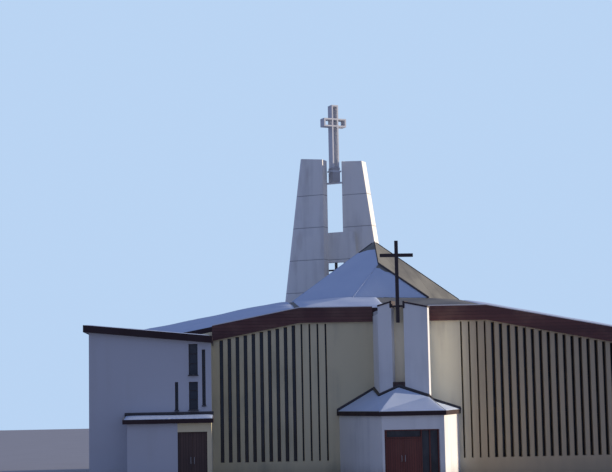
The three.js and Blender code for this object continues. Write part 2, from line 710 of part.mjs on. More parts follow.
// The annex: plain walls with tall windows near its right end, a floor and a thin roof.
function annex() {
  const back = -HALF_DEPTH - SEAT;
  const under = (x) => annexAt(x) - ANNEX_ROOF - SEAT;
  const front = [
    [ANNEX_LEFT, 0], [SIDE_DOOR_LEFT, 0], [SIDE_DOOR_LEFT, PASSAGE_HEAD], [SIDE_DOOR_RIGHT, PASSAGE_HEAD],
    [SIDE_DOOR_RIGHT, 0], [ANNEX_RIGHT, 0],
    [ANNEX_RIGHT, under(ANNEX_RIGHT)], [ANNEX_LEFT, under(ANNEX_LEFT)],
  ];
  const windows = ANNEX_WINDOWS.map(({ left, right, sill, head }) => rectangle(left, sill, right, head));
  const inner = ANNEX_FRONT + ANNEX_WALL;
  piece('annex_front_wall', wallAcross(front, ANNEX_FRONT, inner, windows), 'render');
  const side = (x) => [[inner + SEAT, 0], [back, 0], [back, under(x)], [inner + SEAT, under(x)]];
  const right = ANNEX_RIGHT;
  const left = ANNEX_LEFT + ANNEX_WALL;
  piece('annex_left_wall', wallAlong(side(left), ANNEX_LEFT, left), 'render');
  piece('annex_right_wall', wallAlong(side(right), right - ANNEX_WALL, right), 'olive');
  const floorLow = [left + SEAT, inner + SEAT, 0];
  const floorHigh = [right - ANNEX_WALL - SEAT, back, FLOOR];
  piece('annex_floor', box(floorLow, floorHigh), 'floor');
  const pane = [ANNEX_PANE.left, inner + SEAT, ANNEX_PANE.sill];
  const paneEnd = [right - ANNEX_WALL - SEAT, inner + SEAT + GLASS, ANNEX_PANE.head];
  piece('annex_glass', box(pane, paneEnd), 'glass');
  const over = ANNEX_OVERHANG;
  const lap = right + ANNEX_LAP;
  const notch = right - 1;
  const boards = -HALF_DEPTH - FASCIA_THICK - 2 * SEAT;
  const corners = [
    [ANNEX_LEFT - over, ANNEX_FRONT - over], [lap, ANNEX_FRONT - over], [lap, boards], [notch, boards],
    [notch, -HALF_DEPTH], [ANNEX_LEFT - over, -HALF_DEPTH],
  ].map(([x, y]) => [x, y, annexAt(x)]);
  const faces = [[0, 1, 2], [0, 2, 3], [0, 3, 4], [0, 4, 5]];
  roofSheet('annex_roof', corners, faces, ANNEX_ROOF);
}

// The side porch in front of the annex: two angled walls, a lintel, a lean-to roof and a door.
function sidePorch() {
  const back = ANNEX_FRONT - SEAT;
  const y = SIDE_FRONT;
  const t = SIDE_WALL;
  const low = FLOOR + SEAT;
  const high = SIDE_EAVE - SIDE_ROOF - SEAT;
  piece('side_porch_floor', box([SIDE_LEFT, y, 0], [ANNEX_RIGHT, back, FLOOR]), 'floor');
  piece('side_porch_wall_left', column([
    [SIDE_LEFT, y], [SIDE_DOOR_LEFT, y], [SIDE_DOOR_LEFT, y + t],
    [SIDE_LEFT + t, y + t], [SIDE_LEFT + t, back], [SIDE_LEFT, back],
  ], low, high), 'render');
  piece('side_porch_wall_right', column([
    [SIDE_DOOR_RIGHT, y], [ANNEX_RIGHT, y], [ANNEX_RIGHT, back], [SIDE_DOOR_RIGHT, back],
  ], low, high), 'olive');
  const lintel = [SIDE_DOOR_LEFT + SEAT, y, SIDE_DOOR_HEAD];
  piece('side_porch_lintel', box(lintel, [SIDE_DOOR_RIGHT - SEAT, y + t, high]), 'olive');
  const over = SIDE_OVERHANG;
  const rise = (SIDE_BACK - SIDE_EAVE) / (back - y);
  const eave = SIDE_EAVE - rise * over;
  const corners = [
    [SIDE_LEFT - over, y - over, eave], [ANNEX_RIGHT + over / 2, y - over, eave],
    [ANNEX_RIGHT + over / 2, ANNEX_FRONT, SIDE_BACK], [SIDE_LEFT - over, ANNEX_FRONT, SIDE_BACK],
  ];
  roofSheet('side_porch_roof', corners, [[0, 1, 2], [0, 2, 3]], SIDE_ROOF);
  const clear = 10;
  const top = SIDE_DOOR_HEAD - clear;
  doorPair('side_door', SIDE_DOOR_LEFT, SIDE_DOOR_RIGHT, y + t / 2, FLOOR + clear, top, 'darkwood');
}

// Outer edge of a fin at a height, from the middle of the pair.
function finReach(z) {
  return FIN_GAP / 2 + FIN_TOP_WIDTH + FIN_TAPER * (FIN_TOP - Math.max(z, FIN_KNEE));
}

// Height of a fin's top at a place across it.
function finTopAt(side, u) {
  const { inner, outer } = side < 0 ? LEFT_TOP : RIGHT_TOP;
  return inner + ((outer - inner) * (Math.abs(u) - FIN_GAP / 2)) / FIN_TOP_WIDTH;
}

// One fin, whose top edge slopes a little. The left one, whose side is -1, has a bevel beside its
// flat front. A positive grow makes it bigger all round, to cut the roof.
function fin(side, grow = 0) {
  const front = side < 0 ? 0 : FIN_THICK + FIN_TIE + 2 * SEAT;
  const levels = [FLOOR + SEAT - grow, FIN_KNEE, FIN_TOP];
  const rings = levels.map((z) => {
    const inner = FIN_GAP / 2 - grow;
    const outer = finReach(z) + grow;
    const near = front - grow;
    const far = front + FIN_THICK + grow;
    const edge = outer + FIN_BEVEL;
    const plain = [[inner, near], [outer, near], [outer, far], [inner, far]];
    const bevelled = [[-inner, far], [-edge, far], [-edge, near + FIN_BEVEL_DEEP], [-outer, near], [-inner, near]];
    const placed = side > 0 ? plain : bevelled;
    return placed.map(([u, v]) => [u, v, z === FIN_TOP ? finTopAt(side, u) : z]);
  });
  return loft(rings);
}

// Moves a geometry from the tower's own frame to its place in the hall.
function towerPlace(geometry) {
  return geometry
    .rotateZ(THREE.MathUtils.degToRad(TOWER.turn))
    .translate(TOWER.x, TOWER.y, 0);
}

// Cuts a roof sheet where the fins come through it.
function cutByFins(roof) {
  const left = solid(towerPlace(fin(-1, SEAT)));
  const right = solid(towerPlace(fin(1, SEAT)));
  return roof.subtract(left).subtract(right);
}

// The tower: two fins, the wall that ties them, a rail below it and a bearer for the cross.
function tower() {
  piece('tower_fin_left', towerPlace(fin(-1)), 'concrete');
  piece('tower_fin_right', towerPlace(fin(1)), 'concrete');
  const near = FIN_THICK + SEAT;
  const far = FIN_THICK + FIN_TIE + SEAT;
  const left = -FIN_GAP / 2 - FIN_TIE_LAP;
  const right = FIN_GAP / 2 + FIN_TIE_REACH;
  const tie = (end, z) => [[left, near, z], [end, near, z], [end - FIN_TIE_SPLAY, far, z], [left, far, z]];
  const tieWall = loft([tie(right + FIN_TIE_SPREAD, FIN_TIE_LOW), tie(right, FIN_TIE_HIGH)]);
  piece('tower_tie_wall', towerPlace(tieWall), 'concrete');
  const bearer = box([left, near, BEARER_Z], [FIN_GAP / 2 + BEARER_LAP, far, BEARER_Z + BEARER_THICK]);
  piece('cross_bearer', towerPlace(bearer), 'white');
  const bar = RAIL_BAR / 2;
  const foot = EAVE + RIDGE_RISE;
  const end = FIN_GAP / 2 + FIN_TIE_LAP / 2;
  const rail = [
    [-end, RAIL_Z - bar], [-bar, RAIL_Z - bar], [-bar, foot], [bar, foot], [bar, RAIL_Z - bar],
    [end, RAIL_Z - bar], [end, RAIL_Z + bar], [bar, RAIL_Z + bar], [bar, FIN_TIE_LOW - SEAT],
    [-bar, FIN_TIE_LOW - SEAT], [-bar, RAIL_Z + bar], [-end, RAIL_Z + bar],
  ];
  piece('tower_rail', towerPlace(wallAcross(rail, near, far)), 'steel');
  openCross((near + far) / 2);
}

// The open cross: thin plates set on edge, with the sky between them, on the bearer.
function openCross(middle) {
  const { turn, width, arm, depth, plate } = OPEN_CROSS;
  const w = width / 2;
  const a = arm / 2;
  const foot = BEARER_Z + BEARER_THICK + SEAT;
  const lug = OPEN_LUG_Z;
  const half = plate / 2;
  const right = [
    [w, foot], [w, lug - half], [w + OPEN_LUG, lug - half], [w + OPEN_LUG, lug + half], [w, lug + half],
    [w, OPEN_ARM_LOW], [a, OPEN_ARM_LOW], [a, OPEN_ARM_HIGH], [w, OPEN_ARM_HIGH], [w, OPEN_TOP],
  ];
  const left = right.map(([x, z]) => [-x, z]).reverse();
  const inner = w - plate;
  const holes = [
    rectangle(-inner, OPEN_FOOT_PANEL, inner, OPEN_ARM_LOW),
    rectangle(-inner, OPEN_ARM_LOW + plate, inner, OPEN_ARM_HIGH - plate),
    rectangle(-inner, OPEN_ARM_HIGH, inner, OPEN_TOP - plate),
    rectangle(-a + plate, OPEN_ARM_LOW + plate, -w, OPEN_ARM_HIGH - plate),
    rectangle(w, OPEN_ARM_LOW + plate, a - plate, OPEN_ARM_HIGH - plate),
  ];
  const geometry = wallAcross([...right, ...left], -depth / 2, depth / 2, holes);
  geometry.rotateZ(THREE.MathUtils.degToRad(turn - TOWER.turn));
  geometry.translate(0, middle, 0);
  piece('tower_cross', towerPlace(geometry), 'white');
}

// The hall's floor fills the space between its walls.
function hallFloor() {
  const x = HALF_LENGTH - WALL - SEAT;
  const y = HALF_DEPTH - WALL - SEAT;
  piece('hall_floor', box([-x, -y, 0], [x, y, FLOOR]), 'floor');
}

hallFloor();
hallWalls();
endWalls();
hallGlass();
wingRoofs();
tentRoof();
skirtRoof();
fascias();
prow();
frontCross();
porch();
mainEntrance();
annex();
sidePorch();
tower();

export default church;
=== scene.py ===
# %% [markdown]
# This lesson dresses a modern church building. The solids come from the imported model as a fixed
# frame: walls, roofs, doors and tower fins are already there, in metres, with +Z up and -Y to
# the front. What is added here is what the weather and the finishing trades left on them: snow,
# metal strips, window frames, handles and the materials themselves.

# %% Load the building
import json
import math

import bmesh
import bpy
import numpy as np
from mathutils import Matrix, Vector


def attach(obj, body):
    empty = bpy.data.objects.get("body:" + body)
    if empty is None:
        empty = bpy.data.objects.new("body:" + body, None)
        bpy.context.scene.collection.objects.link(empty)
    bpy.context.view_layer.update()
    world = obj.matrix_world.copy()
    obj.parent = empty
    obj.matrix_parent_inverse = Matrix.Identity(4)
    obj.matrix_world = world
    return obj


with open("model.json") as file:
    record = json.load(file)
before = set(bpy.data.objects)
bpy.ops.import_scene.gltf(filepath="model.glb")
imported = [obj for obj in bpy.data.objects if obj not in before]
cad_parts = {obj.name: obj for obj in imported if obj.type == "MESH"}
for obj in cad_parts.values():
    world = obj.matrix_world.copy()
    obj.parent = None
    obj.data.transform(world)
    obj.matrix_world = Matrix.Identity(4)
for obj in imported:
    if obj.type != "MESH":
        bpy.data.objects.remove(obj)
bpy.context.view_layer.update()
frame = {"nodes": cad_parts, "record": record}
nodes = frame["nodes"]

# %% [markdown]
# A picture from a long way off, with a long lens, keeps a building's upright lines nearly
# parallel. The camera stands a little left of the prow and just above eye level, and looks up by
# a few degrees. A small roll is in the picture too, so it is built from three direction vectors
# instead of from angles, which keeps the roll apart from the pitch.

# %% Camera
EYE = Vector((-7.95, -83.71, 3.9))
HEADING = (0.049, 0.9988)
PITCH = math.radians(6.24)
ROLL = math.radians(1.09)
FOCAL_PIXELS = 1500
PICTURE_WIDTH = 612
SENSOR = 36
FARTHEST = 1000


def looking(heading, pitch, roll):
    """Columns are right, up and back: the level frame is turned by the roll about the view."""
    ahead = Vector((*heading, 0)).normalized() * math.cos(pitch) + Vector((0, 0, math.sin(pitch)))
    right = ahead.cross(Vector((0, 0, 1))).normalized()
    up = right.cross(ahead)
    rolled = right * math.cos(roll) - up * math.sin(roll)
    return Matrix((rolled, rolled.cross(ahead), -ahead)).transposed()


lens = bpy.data.cameras.new("camera")
lens.lens = FOCAL_PIXELS * SENSOR / PICTURE_WIDTH
lens.sensor_width = SENSOR
lens.clip_end = FARTHEST
camera = bpy.data.objects.new("camera", lens)
camera.matrix_world = Matrix.Translation(EYE) @ looking(HEADING, PITCH, ROLL).to_4x4()
bpy.context.scene.collection.objects.link(camera)
bpy.context.scene.camera = camera
print("lens:", round(lens.lens, 1), "mm")

# %% [markdown]
# Low winter sun comes from the right, a little from behind, and stands less than ten degrees up.
# So every face that looks to the camera is lit by the sky alone and turns blue. Only the tower
# fins' sides, the tent's right face and the tops of the snow are warm, and the prow's right side,
# which throws its light back on the cream wall beside it. One sun lamp with a soft edge gives the
# warm side. The world's colour gives the cool side, and it is split by ray kind: the camera sees
# a plain pale backdrop, and the surfaces get the deeper sky.

# %% Light
SUN_FROM = Vector((0.985, 0.069, 0.156))
SUN_COLOUR = (1.0, 0.86, 0.68)
SUN_STRENGTH = 4.4
SUN_SPREAD = math.radians(3)
SKY_COLOUR = (0.182, 0.240, 0.435, 1)
BACKDROP = (0.49, 0.66, 0.90, 1)

sun_lamp = bpy.data.lights.new("sun", "SUN")
sun_lamp.energy = SUN_STRENGTH
sun_lamp.color = SUN_COLOUR
sun_lamp.angle = SUN_SPREAD
sun = bpy.data.objects.new("sun", sun_lamp)
sun.rotation_mode = "QUATERNION"
sun.rotation_quaternion = SUN_FROM.to_track_quat("Z", "Y")
bpy.context.scene.collection.objects.link(sun)

world = bpy.data.worlds.new("sky")
bpy.context.scene.world = world
world.use_nodes = True
sky_nodes = world.node_tree.nodes
sky_links = world.node_tree.links
sky = sky_nodes["Background"]
sky.inputs["Color"].default_value = SKY_COLOUR
backdrop = sky_nodes.new("ShaderNodeBackground")
backdrop.inputs["Color"].default_value = BACKDROP
chooser = sky_nodes.new("ShaderNodeMixShader")
ray_kind = sky_nodes.new("ShaderNodeLightPath")
sky_links.new(ray_kind.outputs["Is Camera Ray"], chooser.inputs["Fac"])
sky_links.new(sky.outputs[0], chooser.inputs[1])
sky_links.new(backdrop.outputs[0], chooser.inputs[2])
sky_links.new(chooser.outputs[0], sky_nodes["World Output"].inputs["Surface"])
bpy.context.scene.view_settings.view_transform = "Standard"
print("sun height:", round(math.degrees(math.asin(SUN_FROM.normalized().z))), "degrees")

# %% [markdown]
# A finish is a small program on the surface: it reads where a point is on the building, works out
# patterns from that, and mixes colours by them. Written as nodes alone it is hard to read. So one
# class wraps a socket, and plain arithmetic on it adds the Math nodes. Everything that isn't
# arithmetic goes through one method, which sets a node's own settings before its sockets.


# %% Arithmetic on sockets
class Value:
    """An output socket. a + b, a * 2, a / 2 or 1 - a adds the Math node that works it out."""

    def __init__(self, finish, socket):
        self.finish = finish
        self.socket = socket

    def maths(self, operation, first, second=None):
        inputs = {0: first} if second is None else {0: first, 1: second}
        return self.finish.node("ShaderNodeMath", inputs, {"operation": operation})

    def __add__(self, other):
        return self.maths("ADD", self, other)

    def __sub__(self, other):
        return self.maths("SUBTRACT", self, other)

    def __rsub__(self, other):
        return self.maths("SUBTRACT", other, self)

    def __mul__(self, other):
        return self.maths("MULTIPLY", self, other)

    def __truediv__(self, other):
        return self.maths("DIVIDE", self, other)


finishes = {}


class Finish:
    """A material with one Principled shader, and the patterns that its colour is made from."""

    def __init__(self, name):
        self.material = bpy.data.materials.new(name)
        finishes[name] = self.material
        self.material.use_nodes = True
        self.tree = self.material.node_tree
        self.shader = self.tree.nodes["Principled BSDF"]
        place = self.node("ShaderNodeTexCoord", output="Object")
        self.place = place
        self.axes = [self.node("ShaderNodeSeparateXYZ", {0: place}, output=axis) for axis in "XYZ"]

    def node(self, kind, inputs=None, settings=None, output=0):
        """Adds any node: its settings first, because they decide its sockets, then values or links."""
        made = self.tree.nodes.new(kind)
        for name, value in (settings or {}).items():
            setattr(made, name, value)
        for name, value in (inputs or {}).items():
            if isinstance(value, Value):
                self.tree.links.new(value.socket, made.inputs[name])
            else:
                made.inputs[name].default_value = value
        return Value(self, made.outputs[output])

    def stretched(self, scale):
        """Object coordinates times a scale for each axis, so a pattern can be drawn out."""
        return self.node("ShaderNodeMapping", {"Vector": self.place, "Scale": scale})

    def cloud(self, size, detail=3, stretch=(1, 1, 1)):
        """Soft noise from 0 to 1 whose lumps are about size metres across."""
        inputs = {"Vector": self.stretched(stretch), "Scale": 1 / size, "Detail": detail}
        return self.node("ShaderNodeTexNoise", inputs)

    def rise(self, value, low, high):
        """0 below low, 1 above high, and a smooth S between them. Low may be the larger one."""
        inputs = {0: value, 1: low, 2: high}
        return self.node("ShaderNodeMapRange", inputs, {"interpolation_type": "SMOOTHSTEP"})

    def blend(self, factor, first, second):
        """The first colour at factor 0 and the second at 1."""
        inputs = {0: factor, 6: first, 7: second}
        return self.node("ShaderNodeMix", inputs, {"data_type": "RGBA"}, output=2)

    def groove(self, along, pitch, width):
        """1 in a groove of a width that comes back at every pitch along a value, else 0."""
        wrapped = along.maths("PINGPONG", along, pitch / 2)
        return self.rise(wrapped, width, width / 3)

    def relief(self, height, depth):
        """Bumps the surface by a height from 0 to 1, whose full depth is in metres."""
        inputs = {"Height": height, "Distance": depth, "Strength": 1.0}
        self.wire("Normal", self.node("ShaderNodeBump", inputs))

    def wire(self, name, value):
        """Sends what varies to the shader's socket."""
        self.tree.links.new(value.socket, self.shader.inputs[name])

    def fixed(self, constants):
        """Sets the shader's own sockets: what is the same all over the surface."""
        for name, value in constants.items():
            self.shader.inputs[name].default_value = value


print("helpers ready")

# %% [markdown]
# Painted render is sand and cement under a coat of paint. From far off it shows three things:
# broad clouds where the coat has aged, thin streaks that rain has drawn down, and a dark foot
# where water splashes. Up close there is a fine sand grain. All three walls' paints share this
# make, so one function builds it, and only the colours, the amount of dirt and the painted light
# and shade change. The white paint is painted darker over the annex, and the cream paint is
# painted lighter beside the prow and in the slot.


# %% Painted render
SPLASH_TOP = 1.1
SPLASH_FOOT = 0.1
# Painted light in the slot: from y = -10 m to -10.5 m the cream paint turns to a lighter, warmer colour.
NICHE_LIGHT_START = -10.0
NICHE_LIGHT_END = -10.5
SAND_GRAIN = 0.012


def render_paint(name, paint_and_painted_light, dirty, dirt=0.5, painted_light_split=None, painted_niche_light=None):
    """Colour = paint, mixed with dirt by clouds, streaks and the height above ground.

    Painted light and shade, as (colour, start, end), takes over between two places along x. The
    slot's back wall may get a lighter colour of its own, which is painted light.
    """
    finish = Finish(name)
    # Painted light and shade: a second colour takes over between two places along x.
    if painted_light_split:
        colour, start, end = painted_light_split
        paint_and_painted_light = finish.blend(finish.rise(finish.axes[0], start, end), paint_and_painted_light, colour)
    # Painted light: the slot's back wall, in front of the hall, gets a lighter and warmer colour.
    if painted_niche_light:
        in_niche_light = finish.rise(finish.axes[1], NICHE_LIGHT_START, NICHE_LIGHT_END)
        paint_and_painted_light = finish.blend(in_niche_light, paint_and_painted_light, painted_niche_light)
    clouds = finish.cloud(2.6, 4)
    streaks = finish.cloud(0.55, 3, (1, 1, 0.09))
    foot = finish.rise(finish.axes[2], SPLASH_TOP, SPLASH_FOOT)
    aged = finish.rise(clouds * 0.6 + streaks * 0.55, 0.5, 0.8) * dirt
    soiled = finish.rise(foot * 0.6 + aged + clouds * 0.15, 0.0, 1.1)
    finish.wire("Base Color", finish.blend(soiled, paint_and_painted_light, dirty))
    finish.wire("Roughness", finish.rise(clouds, 0.2, 0.8) * 0.12 + 0.78)
    grain = finish.cloud(SAND_GRAIN, 2)
    trowel = finish.cloud(0.5, 2)
    finish.relief(grain * 0.35 + trowel * 0.65, 0.004)
    finish.fixed({"Specular IOR Level": 0.25})
    return finish.material


# Painted shade: past x = -9 m, where the annex stands, the white is painted a darker blue grey.
white_render = render_paint("white_render", (0.86, 0.85, 0.82, 1), (0.50, 0.50, 0.50, 1), 0.4,
                            painted_light_split=((0.56, 0.57, 0.61, 1), -8.9, -9.0))
# Painted light: the cream is painted light beside the prow and darker from x = 2.4 m to 4.4 m, a painted
# pool of the light that the prow's right side throws back. The slot's back wall is painted a lighter,
# warmer cream, which is painted reflected light.
cream_render = render_paint("cream_render", (0.97, 0.90, 0.66, 1), (0.38, 0.33, 0.24, 1), 0.45,
                            painted_light_split=((0.46, 0.385, 0.27, 1), 2.4, 4.4),
                            painted_niche_light=(0.98, 0.83, 0.55, 1))
olive_render = render_paint("olive_render", (0.80, 0.69, 0.44, 1), (0.48, 0.43, 0.29, 1), 0.5)
print("walls:", white_render.name, cream_render.name, olive_render.name)

# %% [markdown]
# The tower fins were cast in lifts, one above another. Each lift leaves a level joint, the boards
# of the mould leave upright lines, and water that runs from the joints leaves long stains. The
# lifts are counted down from the top, because that is where the photograph shows them best.

# %% Cast concrete
FIN_TOP = 18.25
LIFT = 1.97
BOARD = 0.26
TOWER_TURN = math.radians(-28)


def cast_concrete(name):
    """Colour = pale warm grey, darkened by drips and a little rust, with grooves where lifts meet.

    The boards run across the fins, so their joints are counted along the tower's own turned axis.
    """
    finish = Finish(name)
    down = FIN_TOP - finish.axes[2]
    lift_joint = finish.groove(down, LIFT, 0.03) * finish.rise(down, 0.4, 0.8)
    across = finish.axes[0] * math.cos(TOWER_TURN) + finish.axes[1] * math.sin(TOWER_TURN)
    board_joint = finish.groove(across + 40, BOARD, 0.008)
    drips = finish.cloud(0.45, 5, (1, 1, 0.12))
    patches = finish.cloud(1.7, 5)
    stained = finish.rise(drips * 0.65 + patches * 0.5, 0.52, 0.78)
    rust = finish.rise(finish.cloud(0.9, 4, (1, 1, 0.3)), 0.60, 0.74)
    tone = finish.blend(patches, (0.93, 0.88, 0.78, 1), (0.99, 0.96, 0.90, 1))
    tone = finish.blend(stained * 0.25, tone, (0.36, 0.33, 0.30, 1))
    tone = finish.blend(rust * 0.25, tone, (0.46, 0.38, 0.31, 1))
    tone = finish.blend(lift_joint * 0.7, tone, (0.22, 0.21, 0.21, 1))
    finish.wire("Base Color", tone)
    finish.wire("Roughness", patches * 0.15 + 0.78)
    pores = finish.cloud(0.03, 3)
    flat = 1 - lift_joint * 0.8 - board_joint * 0.25
    finish.relief(flat * 0.8 + pores * 0.2, 0.012)
    finish.fixed({"Specular IOR Level": 0.3})
    return finish.material


fin_concrete = cast_concrete("fin_concrete")


def trowelled_floor(name):
    """Colour = grey speckle with broad worn patches; a saw cut every three metres each way."""
    finish = Finish(name)
    worn = finish.cloud(1.2, 4)
    speckle = finish.cloud(0.02, 2)
    cut = finish.groove(finish.axes[0] + 60, 3, 0.006) + finish.groove(finish.axes[1] + 60, 3, 0.006)
    tone = finish.blend(worn * 0.7 + speckle * 0.3, (0.22, 0.215, 0.21, 1), (0.42, 0.41, 0.40, 1))
    finish.wire("Base Color", finish.blend(cut, tone, (0.06, 0.06, 0.06, 1)))
    finish.wire("Roughness", worn * 0.3 + 0.55)
    finish.relief(speckle - cut, 0.003)
    return finish.material


floor_concrete = trowelled_floor("floor_concrete")
print("concrete:", fin_concrete.name, floor_concrete.name)

# %% [markdown]
# The roofs carry mineral felt in strips a metre wide. Where snow has slid off, the felt shows as
# a dull olive grey, darker where it is still wet. The snow's colour is painted a pale blue grey
# rather than white, which is painted sky shade. It isn't smooth: wind packs it into low waves
# with a fine crust.


# %% Roof felt and snow
FELT_WIDTH = 1.0
LAP_WIDTH = 0.022
PROW_FROM_Y = -9.1
PROW_FROM_Z = 7.92


def mineral_felt(name):
    """Colour = olive grey grains, wet patches and dark laps; edges are dark boards, undersides pale.

    The prow's roof is the one in front of the hall and above its eaves, and its edge is painted.
    """
    finish = Finish(name)
    wet = finish.rise(finish.cloud(1.8, 4, (1, 1, 0.4)), 0.44, 0.66)
    grains = finish.cloud(0.015, 2)
    lap = finish.groove(finish.axes[0] + finish.axes[1] * 0.7 + 60, FELT_WIDTH, LAP_WIDTH)
    dry = finish.blend(grains, (0.18, 0.178, 0.155, 1), (0.31, 0.305, 0.27, 1))
    tone = finish.blend(wet * 0.6, dry, (0.10, 0.096, 0.085, 1))
    tone = finish.blend(lap * 0.7, tone, (0.11, 0.105, 0.095, 1))
    facing = finish.node("ShaderNodeNewGeometry", output="Normal")
    up = finish.node("ShaderNodeSeparateXYZ", {0: facing}, output="Z")
    board = finish.rise(up.maths("ABSOLUTE", up), 0.14, 0.06)
    soffit = finish.rise(up, -0.3, -0.6)
    tone = finish.blend(board, tone, (0.045, 0.026, 0.028, 1))
    before_hall = finish.rise(finish.axes[1], PROW_FROM_Y, PROW_FROM_Y - 0.1)
    above_eaves = finish.rise(finish.axes[2], PROW_FROM_Z, PROW_FROM_Z + 0.04)
    tone = finish.blend(before_hall * above_eaves * board, tone, (0.60, 0.60, 0.58, 1))
    finish.wire("Base Color", finish.blend(soffit, tone, (0.30, 0.29, 0.27, 1)))
    finish.wire("Roughness", 0.82 - wet * 0.3)
    finish.relief(grains * 0.3 - lap * 0.5, 0.008)
    finish.fixed({"Specular IOR Level": 0.3})
    return finish.material


def packed_snow(name):
    """Colour = blue grey (painted sky shade), lighter on drifts; low waves and a fine crust in relief."""
    finish = Finish(name)
    drifts = finish.cloud(1.5, 4)
    crust = finish.cloud(0.05, 3)
    # Painted shade: both colours are blue to stand in for the sky's light on snow in shade.
    finish.wire("Base Color", finish.blend(drifts, (0.50, 0.60, 0.76, 1), (0.66, 0.74, 0.86, 1)))
    finish.wire("Roughness", crust * 0.25 + 0.5)
    finish.relief(drifts * 0.7 + crust * 0.3, 0.03)
    finish.fixed({"Subsurface Weight": 0.0, "Specular IOR Level": 0.35})
    return finish.material


roof_felt = mineral_felt("roof_felt")
roof_snow = packed_snow("roof_snow")
print("roofs:", roof_felt.name, roof_snow.name)

# %% [markdown]
# The eaves, the doors and the box in the slot are stained boards. Wood shows grain along each
# board, a shade that differs from board to board, and a thin dark gap between them. A board's
# number is the whole part of its place divided by its width, and a noise read at that number
# gives the board its own shade.


# %% Stained boards
def stained_boards(name, dark, light, across_axis, width, worn=0.3):
    """Colour = a shade for each board times its grain, with dark gaps and a worn bleached part."""
    finish = Finish(name)
    x, y, z = finish.axes
    across = z + 20 if across_axis == "Z" else x + y * 0.37 + 60
    number = finish.node("ShaderNodeMath", {0: across / width}, {"operation": "FLOOR"})
    shade = finish.node("ShaderNodeTexWhiteNoise", {"W": number}, {"noise_dimensions": "1D"})
    drawn = (0.12, 0.12, 1) if across_axis == "Z" else (1, 1, 0.06)
    grain = finish.cloud(0.05, 4, drawn)
    bleached = finish.rise(finish.cloud(1.4, 4), 0.45, 0.75) * worn
    tone = finish.blend(shade * 0.5 + grain * 0.5, dark, light)
    tone = finish.blend(bleached, tone, (0.33, 0.20, 0.14, 1))
    gap = finish.groove(across, width, 0.007)
    finish.wire("Base Color", finish.blend(gap, tone, (0.012, 0.008, 0.008, 1)))
    finish.wire("Roughness", grain * 0.2 + bleached * 0.4 + 0.42)
    finish.relief(grain * 0.3 - gap, 0.006)
    return finish.material


fascia_board = stained_boards("fascia_board", (0.060, 0.020, 0.020, 1), (0.155, 0.055, 0.046, 1),
                              "Z", 0.16)
door_paint = stained_boards("door_paint", (0.13, 0.032, 0.024, 1), (0.21, 0.055, 0.036, 1),
                            "X", 0.11, worn=0.1)
dark_wood = stained_boards("dark_wood", (0.050, 0.028, 0.024, 1), (0.105, 0.058, 0.046, 1),
                           "X", 0.12, worn=0.1)
print("wood:", fascia_board.name, door_paint.name, dark_wood.name)

# %% [markdown]
# Metal and glass catch the sky. Old zinc has gone dull and grey in patches, black paint on steel
# is chalky where the weather hits it, and white paint on the open cross lets a little rust run
# down. The glass has dark rooms behind it, so it is dark and glossy, with a faint film of dust in
# patches and a slight wave, as old drawn sheets have.


# %% Metal and glass
def weathered_metal(name, fresh, dull, metallic, rough, rust):
    """Colour = fresh paint or zinc, dulled in clouds, with rust in thin runs downwards."""
    finish = Finish(name)
    clouds = finish.cloud(0.35, 4)
    runs = finish.rise(finish.cloud(0.14, 4, (1, 1, 0.12)), 0.56, 0.74) * rust
    tone = finish.blend(clouds, fresh, dull)
    finish.wire("Base Color", finish.blend(runs, tone, (0.20, 0.09, 0.045, 1)))
    finish.wire("Roughness", clouds * 0.25 + runs * 0.3 + rough)
    finish.relief(clouds, 0.0015)
    finish.fixed({"Metallic": metallic})
    return finish.material


def drawn_glass(name):
    """Colour = near black, lighter where dust lies; a long low wave bends what it mirrors."""
    finish = Finish(name)
    dust = finish.rise(finish.cloud(0.5, 4, (1, 1, 0.4)), 0.45, 0.8)
    rooms = finish.cloud(0.9, 1)
    tone = finish.blend(rooms, (0.012, 0.014, 0.018, 1), (0.045, 0.055, 0.07, 1))
    finish.wire("Base Color", finish.blend(dust * 0.25, tone, (0.22, 0.22, 0.21, 1)))
    finish.wire("Roughness", dust * 0.2 + 0.05)
    finish.relief(finish.cloud(0.8, 1, (1, 1, 0.5)), 0.002)
    finish.fixed({"Specular IOR Level": 0.6})
    return finish.material


dark_steel = weathered_metal("dark_steel", (0.030, 0.018, 0.021, 1), (0.050, 0.034, 0.037, 1),
                             metallic=0.0, rough=0.5, rust=0.15)
white_metal = weathered_metal("white_metal", (0.80, 0.80, 0.80, 1), (0.64, 0.64, 0.65, 1),
                              metallic=0.0, rough=0.4, rust=0.12)
dark_zinc = weathered_metal("dark_zinc", (0.06, 0.055, 0.055, 1), (0.13, 0.12, 0.12, 1),
                            metallic=0.6, rough=0.4, rust=0.1)
grey_zinc = weathered_metal("grey_zinc", (0.58, 0.56, 0.55, 1), (0.44, 0.42, 0.41, 1),
                            metallic=0.2, rough=0.45, rust=0.1)
window_glass = drawn_glass("window_glass")
print("metal and glass:", dark_steel.name, white_metal.name, dark_zinc.name, window_glass.name)

# %% [markdown]
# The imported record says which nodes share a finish. So each node gets its material by looking up
# its slot in the dictionary that every finish was entered in. The mesh itself isn't touched.

# %% Give the frame its finishes
slot_of = {part["node"]: part["material_slot"] for part in frame["record"]["subparts"]}
for name, node in nodes.items():
    node.data.materials.clear()
    node.data.materials.append(finishes[slot_of[name]])
print("finished nodes:", len(slot_of))

# %% [markdown]
# The added pieces are surfaces. Each one starts as arrays of points worked out by a formula, and
# one helper puts such arrays into a mesh. It also closes the seams, by merging points that fall
# together, and turns the faces outwards, which is safe because every piece is a closed body.


# %% From arrays to a piece
SEAM = 0.0004

record_slots = {entry["slot"] for entry in frame["record"]["materials"]}


